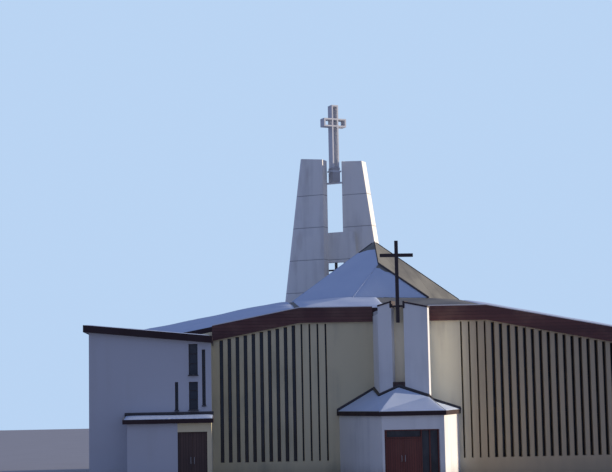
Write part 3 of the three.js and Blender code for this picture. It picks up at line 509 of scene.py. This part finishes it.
def make_piece(name, points, faces, material, body="building"):
    """Builds a closed mesh from points (n, 3) and faces (lists of indices); rides on a body."""
    mesh = bpy.data.meshes.new(name)
    mesh.from_pydata(np.asarray(points, float).reshape(-1, 3).tolist(), [], faces)
    work = bmesh.new()
    work.from_mesh(mesh)
    bmesh.ops.remove_doubles(work, verts=work.verts, dist=SEAM)
    bmesh.ops.dissolve_degenerate(work, edges=work.edges, dist=SEAM)
    bmesh.ops.recalc_face_normals(work, faces=work.faces)
    work.to_mesh(mesh)
    open_edges = sum(not edge.is_manifold for edge in work.edges)
    work.free()
    mesh.materials.append(material)
    made = bpy.data.objects.new(name, mesh)
    bpy.context.scene.collection.objects.link(made)
    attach(made, body)
    finish = next(key for key, value in finishes.items() if value == material)
    finish in record_slots
    print(name, "faces:", len(mesh.polygons), "open edges:", open_edges)


def grid_faces(rows, columns):
    """The quads of a grid of points that is closed round: its last column joins its first."""
    row, column = np.meshgrid(np.arange(rows - 1), np.arange(columns), indexing="ij")
    after = (column + 1) % columns
    this_row, next_row = row * columns, (row + 1) * columns
    corners = (this_row + column, this_row + after, next_row + after, next_row + column)
    return np.stack(corners, -1).reshape(-1, 4).tolist()


# %% [markdown]
# Snow lies on each roof like a thick blanket: even in depth, rounded at its rim, with slow waves
# from the wind. Modelling each blanket by hand would mean one mesh for every roof. Instead the
# roof itself says how high it is at any place, and one formula in two parameters lays snow over
# any outline: the first parameter runs from a middle point out to the rim, the second runs round.


# %% Snow blankets
BEDDING = 0.012


def roof_height(name, x, y):
    """Height of a node's top over places: the plane of the triangle that each place is deepest in."""
    mesh = nodes[name].data
    mesh.calc_loop_triangles()
    corners = np.array([vertex.co for vertex in mesh.vertices])
    triangles = np.array([triangle.vertices for triangle in mesh.loop_triangles])
    a, b, c = (corners[triangles[:, i]] for i in range(3))
    normal = np.cross(b - a, c - a)
    upward = normal[:, 2] > 0.2 * np.linalg.norm(normal, axis=1)
    a, b, c, normal = a[upward], b[upward], c[upward], normal[upward]
    place = np.stack((x, y), -1)[..., None, :]

    def side(p, q):
        edge = (q - p)[:, :2]
        length = np.linalg.norm(edge, axis=1)
        return (edge[:, 0] * (place[..., 1] - p[:, 1]) - edge[:, 1] * (place[..., 0] - p[:, 0])) / length

    depth = np.minimum(np.minimum(side(a, b), side(b, c)), side(c, a))
    best = depth.argmax(-1)
    slope = normal[:, :2] / normal[:, 2:]
    heights = a[:, 2] - ((place - a[:, :2]) * slope).sum(-1)
    return np.take_along_axis(heights, best[..., None], -1)[..., 0]


def snow_blanket(name, node, outline, middle, thick=0.12, ragged=0.06, step=0.16, rings=26, power=10):
    """Places = middle + r * (rim - middle); depth = thick * root of (1 - r ** power) * waves.

    The rim is drawn in by bites of about ragged metres, and the foot is bedded in the roof.
    """
    ends = np.array(outline + outline[:1], float)
    lengths = np.linalg.norm(np.diff(ends, axis=0), axis=1)
    counts = np.maximum(3, (lengths / step).astype(int))
    spans = [np.linspace(ends[i], ends[i + 1], n, endpoint=False) for i, n in enumerate(counts)]
    rim = np.concatenate(spans)
    turn = np.linspace(0, 2 * np.pi, len(rim), endpoint=False)
    bites = np.sin(turn * 17 + 1) * np.sin(turn * 7 + 2) + 0.6 * np.sin(turn * 41)
    reach = np.linalg.norm(rim - middle, axis=1, keepdims=True)
    rim = rim + (middle - rim) / reach * ragged * (0.9 + 0.6 * bites[:, None])
    r = np.sin(np.linspace(0, np.pi / 2, rings))[:, None, None]
    places = np.array(middle) + r * (rim - middle)
    x, y = places[..., 0], places[..., 1]
    base = roof_height(node, x, y)
    waves = 1 + 0.08 * np.sin(x * 2.3 + y * 1.1) + 0.06 * np.sin(x * 0.9 - y * 2.9 + 1)
    depth = thick * np.sqrt(np.clip(1 - r[..., 0] ** power, 0, 1)) * waves
    top = np.stack((x, y, base + depth - BEDDING), -1)
    under = np.stack((x, y, base - BEDDING), -1)
    shell = np.concatenate((top, under[::-1]))
    make_piece(name, shell, grid_faces(2 * rings, len(rim)), roof_snow)


# %% [markdown]
# Which roofs are white is read from the photograph. Snow stays on every face that looks away from
# the sun, on both wings and on the low roofs. It has slid off the tent's right side and off the
# very peak. The large roofs of the hall come first. Each outline is a list of corners seen from
# above, and the pair after it is the middle point that the blanket grows from.

# %% Snow on the hall's roofs
snow_blanket("snow_tent_left", "tent_front_left",
             [(-4.68, -0.01), (-1.57, -3.12), (-0.02, -2.02), (-0.02, -0.70), (-0.16, -0.55),
              (-0.42, -0.30), (-0.90, -0.01)],
             (-1.7, -1.4), thick=0.08, ragged=0.006, step=0.1)
snow_blanket("snow_hood", "prow_hood",
             [(-1.54, -3.16), (2.52, -3.19), (0.72, -2.32), (0.34, -2.27), (0.05, -2.16), (-0.16, -2.13)],
             (0.3, -2.8), thick=0.045, ragged=0.012, step=0.08)
snow_blanket("snow_skirt", "skirt_front",
             [(-4.62, -8.90), (-0.24, -8.90), (-0.24, -3.32), (-1.60, -3.30), (-4.62, -0.25)],
             (-2.2, -6.4), thick=0.10, ragged=0.03, step=0.2)
snow_blanket("snow_left_wing", "left_wing_roof",
             [(-14.70, -8.90), (-4.82, -8.90), (-4.82, 3.3), (-5.9, 8.85), (-14.70, 8.85)],
             (-10.2, -0.5), thick=0.18, step=0.3)
snow_blanket("snow_right_wing", "right_wing_roof",
             [(4.85, -8.90), (14.7, -8.90), (14.70, 8.85), (4.85, 8.85)],
             (9.8, 0), thick=0.10, step=0.3)
snow_blanket("snow_tent_rear", "tent_rear",
             [(-1.1, 0.12), (-4.6, 0.12), (-3.9, 0.75), (-3.2, 1.4), (-0.2, 0.6)],
             (-2.3, 0.6), thick=0.10)

# %% [markdown]
# The low roofs are nearer to the eye, so their blankets are thinner and follow the folds closely.
# The porch's roof has three faces. Each gets a blanket of its own, and the outlines of the front
# and the left one overlap by a few centimetres at the fold, so that no dark line shows there.

# %% Snow on the low roofs
snow_blanket("snow_porch_front", "porch_roof",
             [(-1.37, -14.79), (1.69, -14.79), (1.25, -12.54), (-1.06, -11.36)],
             (0.15, -13.1), thick=0.045, ragged=0.003, step=0.08)
snow_blanket("snow_porch_right", "porch_roof",
             [(1.74, -14.72), (3.23, -9.0), (1.81, -9.0), (1.44, -12.25), (1.34, -12.5)],
             (2.0, -11.4), thick=0.04, ragged=0.02, step=0.1)
snow_blanket("snow_porch_left", "porch_roof",
             [(-1.31, -14.74), (-1.03, -11.34), (-1.09, -9.0), (-2.88, -9.0)],
             (-1.6, -11.0), thick=0.045, ragged=0.003, step=0.1)
snow_blanket("snow_side_porch", "side_porch_roof",
             [(-13.07, -14.47), (-8.98, -14.47), (-8.98, -13.04), (-13.07, -13.04)],
             (-11.0, -13.8), thick=0.05, ragged=0.02, step=0.12)
snow_blanket("snow_annex", "annex_roof",
             [(-14.96, -13.21), (-9.04, -13.21), (-9.12, -9.12), (-14.96, -9.12)],
             (-12.0, -11.2), thick=0.06, ragged=0.03, step=0.2)
snow_blanket("snow_prow", "prow_roof",
             [(-0.98, -9.03), (-0.79, -10.80), (0.39, -11.42), (1.33, -12.12), (1.70, -9.03)],
             (0.4, -10.2), thick=0.06, ragged=0.02, step=0.1)

# %% [markdown]
# Ridge rolls, copings, flashings and bars are all one kind of thing: a small cross-section drawn
# along a line. A bevelled curve would do it too, but it turns its section with the slope. Sheet
# metal on a roof doesn't: its section stays upright, and it is mitred where the line bends. So
# the section is set out level, across the line that halves each bend.


# %% Sections along a line
def skin(rings):
    """Points (rows, columns, 3) as a closed body: quads between the rings and a cap at each end."""
    rows, columns = rings.shape[:2]
    faces = grid_faces(rows, columns)
    faces.append(list(range(columns)))
    faces.append(list(range((rows - 1) * columns, rows * columns)))
    return rings.reshape(-1, 3), faces


def together(bodies):
    """Several closed bodies as one list of points and one list of faces."""
    points, faces, start = [], [], 0
    for body_points, body_faces in bodies:
        points.append(body_points)
        faces += [[start + corner for corner in face] for face in body_faces]
        start += len(body_points)
    return np.concatenate(points), faces


def eased_bar(width, height, ease):
    """A rectangle whose corners are rounded: quarter circles of radius ease, from its middle."""
    angle = np.linspace(0, np.pi / 2, 4)
    corners = []
    for turn, (sx, sy) in enumerate([(1, 1), (-1, 1), (-1, -1), (1, -1)]):
        across = sx * (width / 2 - ease) + ease * np.cos(angle + turn * np.pi / 2)
        up = sy * (height / 2 - ease) + ease * np.sin(angle + turn * np.pi / 2)
        corners.append(np.stack((across, up), -1))
    return np.concatenate(corners)


def ridge_roll(width, height):
    """Half an ellipse with a flat foot on each side: up = height * sin(angle), on a foot 8 mm high."""
    angle = np.linspace(0, np.pi, 9)
    arch = np.stack((np.cos(angle) * width * 0.28, np.sin(angle) * height), -1)
    feet = np.array([(-width / 2, 0.008), (-width / 2, -0.03), (width / 2, -0.03), (width / 2, 0.008)])
    return np.concatenate((arch + (0, 0.008), feet))


def swept(path, section, widths=None):
    """Point = path + across * side / cos(half the bend) + up, with side level and square to it."""
    path = np.asarray(path, float)
    ahead = np.diff(path[:, :2], axis=0)
    ahead /= np.linalg.norm(ahead, axis=1, keepdims=True)
    before = np.vstack((ahead[:1], ahead))
    after = np.vstack((ahead, ahead[-1:]))
    halved = before + after
    halved /= np.linalg.norm(halved, axis=1, keepdims=True)
    scale = (np.ones(len(path)) if widths is None else np.asarray(widths)) / (halved * after).sum(1)
    side = np.stack((-halved[:, 1] * scale, halved[:, 0] * scale, np.zeros(len(path))), -1)
    upright = np.array((0, 0, 1.0))
    return skin(path[:, None] + section[None, :, :1] * side[:, None] + section[None, :, 1:] * upright)


def spaced(path, gap=0.5):
    """More points along a line, about a gap apart, so that a long strip isn't two points only."""
    path = np.asarray(path, float)
    pieces = [path[:1]]
    for start, end in zip(path[:-1], path[1:]):
        count = max(2, int(np.linalg.norm(end - start) / gap) + 1)
        pieces.append(np.linspace(start, end, count)[1:])
    return np.concatenate(pieces)


print("a bar has", len(eased_bar(1, 1, 0.1)), "points round it, and a roll has", len(ridge_roll(1, 1)))

# %% [markdown]
# The tent's folds are covered with dark zinc rolls. Snow has buried the two on the shaded side, so
# those are finished as snow, and the one at the hood's right is the widest.

# %% Rolls on the tent and the hood
PEAK_POINT = (0, 0, 12.70)
APEX = (0, -2.0, 11.27)
HOOD_LEFT = (-1.55, -3.15, 9.35)
HOOD_RIGHT = (2.6, -3.2, 9.25)
rolls = {
    "roll_front": ([PEAK_POINT, APEX], 0.05, 0.03, dark_zinc),
    "roll_hood_left": ([APEX, HOOD_LEFT], 0.05, 0.02, roof_snow),
    "roll_hood_right": ([APEX, HOOD_RIGHT], 0.15, 0.07, dark_zinc),
    "roll_hood_side": ([APEX, (2.6, -2.1, 9.35)], 0.08, 0.04, dark_zinc),
    "roll_left": ([(-0.9, 0, 12.06), (-4.7, 0, 9.35)], 0.07, 0.03, roof_snow),
    "roll_left_top": ([(-0.12, 0, 12.615), (-0.9, 0, 12.06)], 0.07, 0.03, dark_zinc),
    "roll_right": ([(0.12, 0, 12.615), (4.7, 0, 9.35)], 0.07, 0.03, dark_zinc),
    "roll_rear": ([(0, 0.12, 12.615), (0, 4.7, 9.35)], 0.14, 0.05, dark_zinc),
}
for name, (path, width, height, cover) in rolls.items():
    make_piece(name, *swept(spaced(path), ridge_roll(width, height)), cover)

# %% [markdown]
# The prow's two slabs stand a little turned, so everything on them is set out in their own frame:
# t runs along them from the slot's right side, and d runs back from their front. Each has a dark
# metal coping, whose inner end turns down over the slab's end, beside the cross's bar.

# %% Copings on the prow
PROW_TURN = math.radians(-28)
PROW_CORNER = (0.19, -11.905)
PLATE_FRONT = -0.03
PLATE_BACK = 0.47


def prow_at(t, d, z):
    """Place = corner + t along the slabs + d square to them."""
    x = PROW_CORNER[0] + t * math.cos(PROW_TURN) - d * math.sin(PROW_TURN)
    y = PROW_CORNER[1] + t * math.sin(PROW_TURN) + d * math.cos(PROW_TURN)
    return (x, y, z)


def coping(name, ends, widths, cheek):
    """A cap along the slab's top, and a plate that turns down over the slab's end at the slot.

    The cap's section is 1 m wide, and widths, in metres, scale it from the first end to the last.
    """
    path = spaced([prow_at(*end) for end in ends], 0.2)
    cap = swept(path, eased_bar(1.0, 0.075, 0.012), np.linspace(*widths, len(path)))
    t, z = cheek
    plate_ends = [prow_at(t, PLATE_FRONT, z), prow_at(t, PLATE_BACK, z)]
    plate = swept(plate_ends, eased_bar(0.10, 0.34, 0.015))
    make_piece(name, *together([cap, plate]), dark_steel)


coping("coping_left", [(-1.35, 0.225, 8.37), (-0.634, 0.225, 8.545)], (0.52, 0.52), (-0.655, 8.42))
coping("coping_right", [(0.0, 0.225, 8.505), (1.24, 0.115, 8.225)], (0.52, 0.30), (0.02, 8.38))

# %% [markdown]
# Where a roof meets a wall, a strip of metal is dressed up the wall and out over the roof. It
# shows as a thin dark line above the snow.

# %% Flashings
upstand = np.array([(-0.015, -0.06), (0.015, -0.06), (0.10, -0.02), (0.10, 0.0), (0.02, 0.02),
                    (0.01, 0.09), (-0.01, 0.09)]) * (-1, 1)
flashings = {
    "flashing_porch_side_left": [(-1.03, -9.0, 4.41), prow_at(-1.334, 0, 4.07)],
    "flashing_porch": [prow_at(-1.334, 0, 4.07), prow_at(-0.317, 0, 4.47), prow_at(1.22, 0, 3.98)],
    "flashing_porch_side_right": [prow_at(1.22, 0.0, 3.97), prow_at(1.22, 0.23, 3.90), (1.75, -9.0, 3.84)],
    "flashing_porch_right": [(1.75, -8.965, 3.84), (3.27, -8.965, 3.34)],
    "flashing_porch_left": [(-2.92, -8.965, 3.34), (-1.03, -8.965, 4.41)],
    "flashing_side_porch": [(-13.1, -13.015, 3.37), (-8.96, -13.015, 3.37)],
}
for name, path in flashings.items():
    make_piece(name, *swept(spaced(path), upstand), dark_zinc)

# %% [markdown]
# The eaves have a light metal edge on top of the boards. It follows the hall's outline: level over
# the middle bay, falling along each wing, and up to a low gable at each end.

# %% Edges of the eaves
EAVE_LEVEL = 8.43
WING_FALL = 0.19
HALF_BAY = 4.7
HALF_LENGTH = 14.75
HALF_DEPTH = 8.95
GABLE_RISE = 0.92
EDGE_RISE = 0.062


def eave(x):
    """Height of the eaves: level over the middle bay, then falling by 0.19 m a metre."""
    return EAVE_LEVEL - WING_FALL * max(0, abs(x) - HALF_BAY)


def gable(y):
    """Height of the eaves at an end, which climb from both corners to the middle."""
    return eave(HALF_LENGTH) + GABLE_RISE * (1 - abs(y) / HALF_DEPTH)


edge_strip = eased_bar(0.13, 0.05, 0.012)
edges = {
    "edge_front_right": [(x, -9.016, eave(x) + EDGE_RISE) for x in (1.77, HALF_BAY, 14.87)],
    "edge_front_left": [(x, -9.016, eave(x) + EDGE_RISE) for x in (-1.05, -HALF_BAY, -9.04)],
    "edge_rear": [(x, 9.015, eave(x) + EDGE_RISE) for x in (-14.87, -HALF_BAY, HALF_BAY, 14.87)],
    "edge_right_end": [(14.812, y, gable(y) + EDGE_RISE) for y in (-8.93, 0, 8.93)],
    "edge_left_end": [(-14.812, y, gable(y) + EDGE_RISE) for y in (-8.93, 0, 8.93)],
}
for name, path in edges.items():
    make_piece(name, *swept(spaced(path), edge_strip), white_metal)

# %% [markdown]
# Each slit window has a slim dark frame and two cross bars in front of the glass. There are over a
# hundred of them, so their places are worked out by the same rule as the walls' holes: one every
# 0.4 m from 3.4 m out, with the first four narrower.

# %% Frames in the slit windows
FRAME_BAR = 0.022
CROSS_BAR_LEVELS = (0.36, 0.68)
FIRST_SLIT = 3.4
SLIT_PITCH = 0.4
NARROW_SLITS = 4
NARROW_HALF, WIDE_HALF = 0.045, 0.09
SILL_LEVEL = 0.9
HEAD_BELOW_EAVE = 0.76
FRAME_PLANE = 8.628
END_FRAME_PLANE = 14.428


def slit_frame(along, half, low, high):
    """Four bars round a slit and two across it, in the wall's own frame (along, out, up)."""
    section = eased_bar(FRAME_BAR, 0.05, 0.004)
    bars = []
    for side in (-1, 1):
        place = along + side * (half - FRAME_BAR / 2 - 0.001)
        rings = [[(place + a, b, z) for a, b in section] for z in (low + 0.001, high - 0.001)]
        bars.append(skin(np.array(rings)))
    ends = (along - half + FRAME_BAR, along + half - FRAME_BAR)
    between = [low + (high - low) * share for share in CROSS_BAR_LEVELS]
    for z in (low + 0.013, *between, high - 0.013):
        rings = [[(x, b, z + a) for a, b in section] for x in ends]
        bars.append(skin(np.array(rings)))
    return bars


def slit_frames(name, places, turn, offset):
    """All frames of one wall, turned by quarter turns and moved out in front of the wall's glass."""
    points, faces = together([bar for place in places for bar in slit_frame(*place)])
    cosine, sine = round(math.cos(turn)), round(math.sin(turn))
    x, y, z = points.T
    turned = np.stack((x * cosine - y * sine, x * sine + y * cosine, z), -1) + offset
    make_piece(name, turned, faces, dark_wood)


def slit_places(side, count, head):
    """Middle, half width, sill and head of each slit on one side of a wall's middle.

    head gives the height of the eaves over a place, and the slit stops a fixed drop below it.
    """
    places = []
    for i in range(count):
        middle = side * (FIRST_SLIT + SLIT_PITCH * i)
        half = NARROW_HALF if i < NARROW_SLITS else WIDE_HALF
        places.append((middle, half, SILL_LEVEL, head(middle) - HEAD_BELOW_EAVE))
    return places


def end_eave(y):
    """An end wall's slits all stop below one level, the eaves at its corners, whatever y is."""
    return eave(HALF_LENGTH)


slit_frames("slit_frames_front_left", slit_places(-1, 14, eave), 0, (0, -FRAME_PLANE, 0))
slit_frames("slit_frames_front_right", slit_places(1, 27, eave), 0, (0, -FRAME_PLANE, 0))
rear_places = slit_places(-1, 27, eave) + slit_places(1, 27, eave)
slit_frames("slit_frames_rear", rear_places, 0, (0, FRAME_PLANE, 0))
end_places = slit_places(-1, 12, end_eave) + slit_places(1, 12, end_eave)
for hand, x in (("left", -END_FRAME_PLANE), ("right", END_FRAME_PLANE)):
    slit_frames("slit_frames_end_" + hand, end_places, math.pi / 2, (x, 0, 0))

# %% [markdown]
# The annex's four windows get frames of the same make, each as wide as its window, and a sloping
# metal sill under each one that throws the water clear of the wall.

# %% Annex windows
ANNEX_FACE = -13.0
ANNEX_FRAME_PLANE = -12.728

annex_windows = [(-10.75, -10.60, 3.55, 4.85), (-10.10, -9.68, 5.18, 6.62), (-10.10, -9.68, 3.55, 4.85),
                 (-9.48, -9.32, 3.75, 6.35)]
sill_section = np.array([(-0.10, 0.0), (-0.10, -0.015), (0.09, -0.055), (0.10, -0.075),
                         (0.115, -0.07), (0.10, -0.03)])
frame_bars, sills = [], []
for left, right, low_z, high_z in annex_windows:
    middle, half = (left + right) / 2, (right - left) / 2
    frame_bars += slit_frame(middle, half, low_z, high_z)
    sill_ends = [(x, ANNEX_FACE, low_z + 0.012) for x in (right + 0.03, left - 0.03)]
    sills.append(swept(sill_ends, sill_section))
bar_points, bar_faces = together(frame_bars)
make_piece("annex_window_frames", bar_points + (0, ANNEX_FRAME_PLANE, 0), bar_faces, dark_wood)
make_piece("annex_window_sills", *together(sills), dark_zinc)

# %% [markdown]
# Each of the four door leaves gets a pull handle: a round bar that stands off the door on two short
# feet. The line is a half circle flattened by a root, so it leaves the door square and turns soon.

# %% Door pulls
PULL_REACH = 0.06
PULL_RADIUS = 0.011
MAIN_DOORS = {"y": -14.451, "z": 1.15, "height": 0.28}
SIDE_DOORS = {"y": -14.201, "z": 1.25, "height": 0.30}


def pull_handle(name, body, x, y, z, height):
    """Line: up = height / 2 * -cos(a), out = reach * sin(a) ** 0.35, with a round section."""
    a = np.linspace(0, np.pi, 21)
    out = PULL_REACH * np.sin(a) ** 0.35
    line = np.stack((np.full(len(a), x), y - out, z - height / 2 * np.cos(a)), -1)
    ahead = np.gradient(line, axis=0)
    ahead /= np.linalg.norm(ahead, axis=1, keepdims=True)
    first = np.array((1.0, 0, 0))
    second = np.cross(ahead, first)
    turn = np.linspace(0, 2 * np.pi, 12, endpoint=False)
    circle = np.cos(turn)[None, :, None] * first + np.sin(turn)[None, :, None] * second[:, None]
    make_piece(name, *skin(line[:, None] + PULL_RADIUS * circle), grey_zinc, body=body)


pull_handle("pull_main_left", "main_door_left", -0.345, **MAIN_DOORS)
pull_handle("pull_main_right", "main_door_right", -0.185, **MAIN_DOORS)
pull_handle("pull_side_left", "side_door_left", -10.005, **SIDE_DOORS)
pull_handle("pull_side_right", "side_door_right", -9.845, **SIDE_DOORS)

# %% [markdown]
# The open cross stands in a dull zinc sleeve between the fins. The sleeve is a thin walled tube
# with rounded corners, in two bands with the cross's lugs between them. A solid block would hide
# the cross's foot from above, so each band goes up its outside, over its edge and down its inside.

# %% Sleeve of the open cross
SLEEVE_TURN = math.radians(22)
SLEEVE_MIDDLE = (-1.701, 6.885)


def sleeve_ring(width, depth, z):
    """An eased rectangle in plan, turned as the cross is, about the cross's own middle."""
    across, back = eased_bar(width, depth, 0.03).T
    x = SLEEVE_MIDDLE[0] + across * math.cos(SLEEVE_TURN) - back * math.sin(SLEEVE_TURN)
    y = SLEEVE_MIDDLE[1] + across * math.sin(SLEEVE_TURN) + back * math.cos(SLEEVE_TURN)
    return np.stack((x, y, np.full(len(x), z)), -1)


def sleeve_band(foot, top):
    """One band of the sleeve as a closed body, with its upper edge eased inwards by 10 mm."""
    outside, eased, inside = (0.50, 0.63), (0.48, 0.61), (0.44, 0.57)
    levels = [(*outside, foot), (*outside, top - 0.02), (*eased, top), (*inside, top), (*inside, foot),
              (*outside, foot)]
    rings = np.array([sleeve_ring(*level) for level in levels])
    return rings.reshape(-1, 3), grid_faces(len(levels), rings.shape[1])


make_piece("cross_sleeve", *together([sleeve_band(17.09, 17.68), sleeve_band(17.83, 17.97)]), grey_zinc)

# %% [markdown]
# The building stands on a plain pale floor, which isn't part of it. The floor fills the picture
# from side to side, and its far edge makes a low horizon.

# %% Floor
GROUND_REACH = 160

ground_mesh = bpy.data.meshes.new("ground")
ground_sides = ((-1, -1), (1, -1), (1, 1), (-1, 1))
ground_corners = [(x * GROUND_REACH, y * GROUND_REACH, 0) for x, y in ground_sides]
ground_mesh.from_pydata(ground_corners, [], [(0, 1, 2, 3)])
ground = bpy.data.objects.new("ground", ground_mesh)
pale = Finish("pale_ground")
pale.wire("Base Color", pale.blend(pale.cloud(3, 3), (0.40, 0.40, 0.41, 1), (0.46, 0.46, 0.47, 1)))
pale.fixed({"Roughness": 0.9, "Specular IOR Level": 0.1})
ground_mesh.materials.append(pale.material)
bpy.context.scene.collection.objects.link(ground)
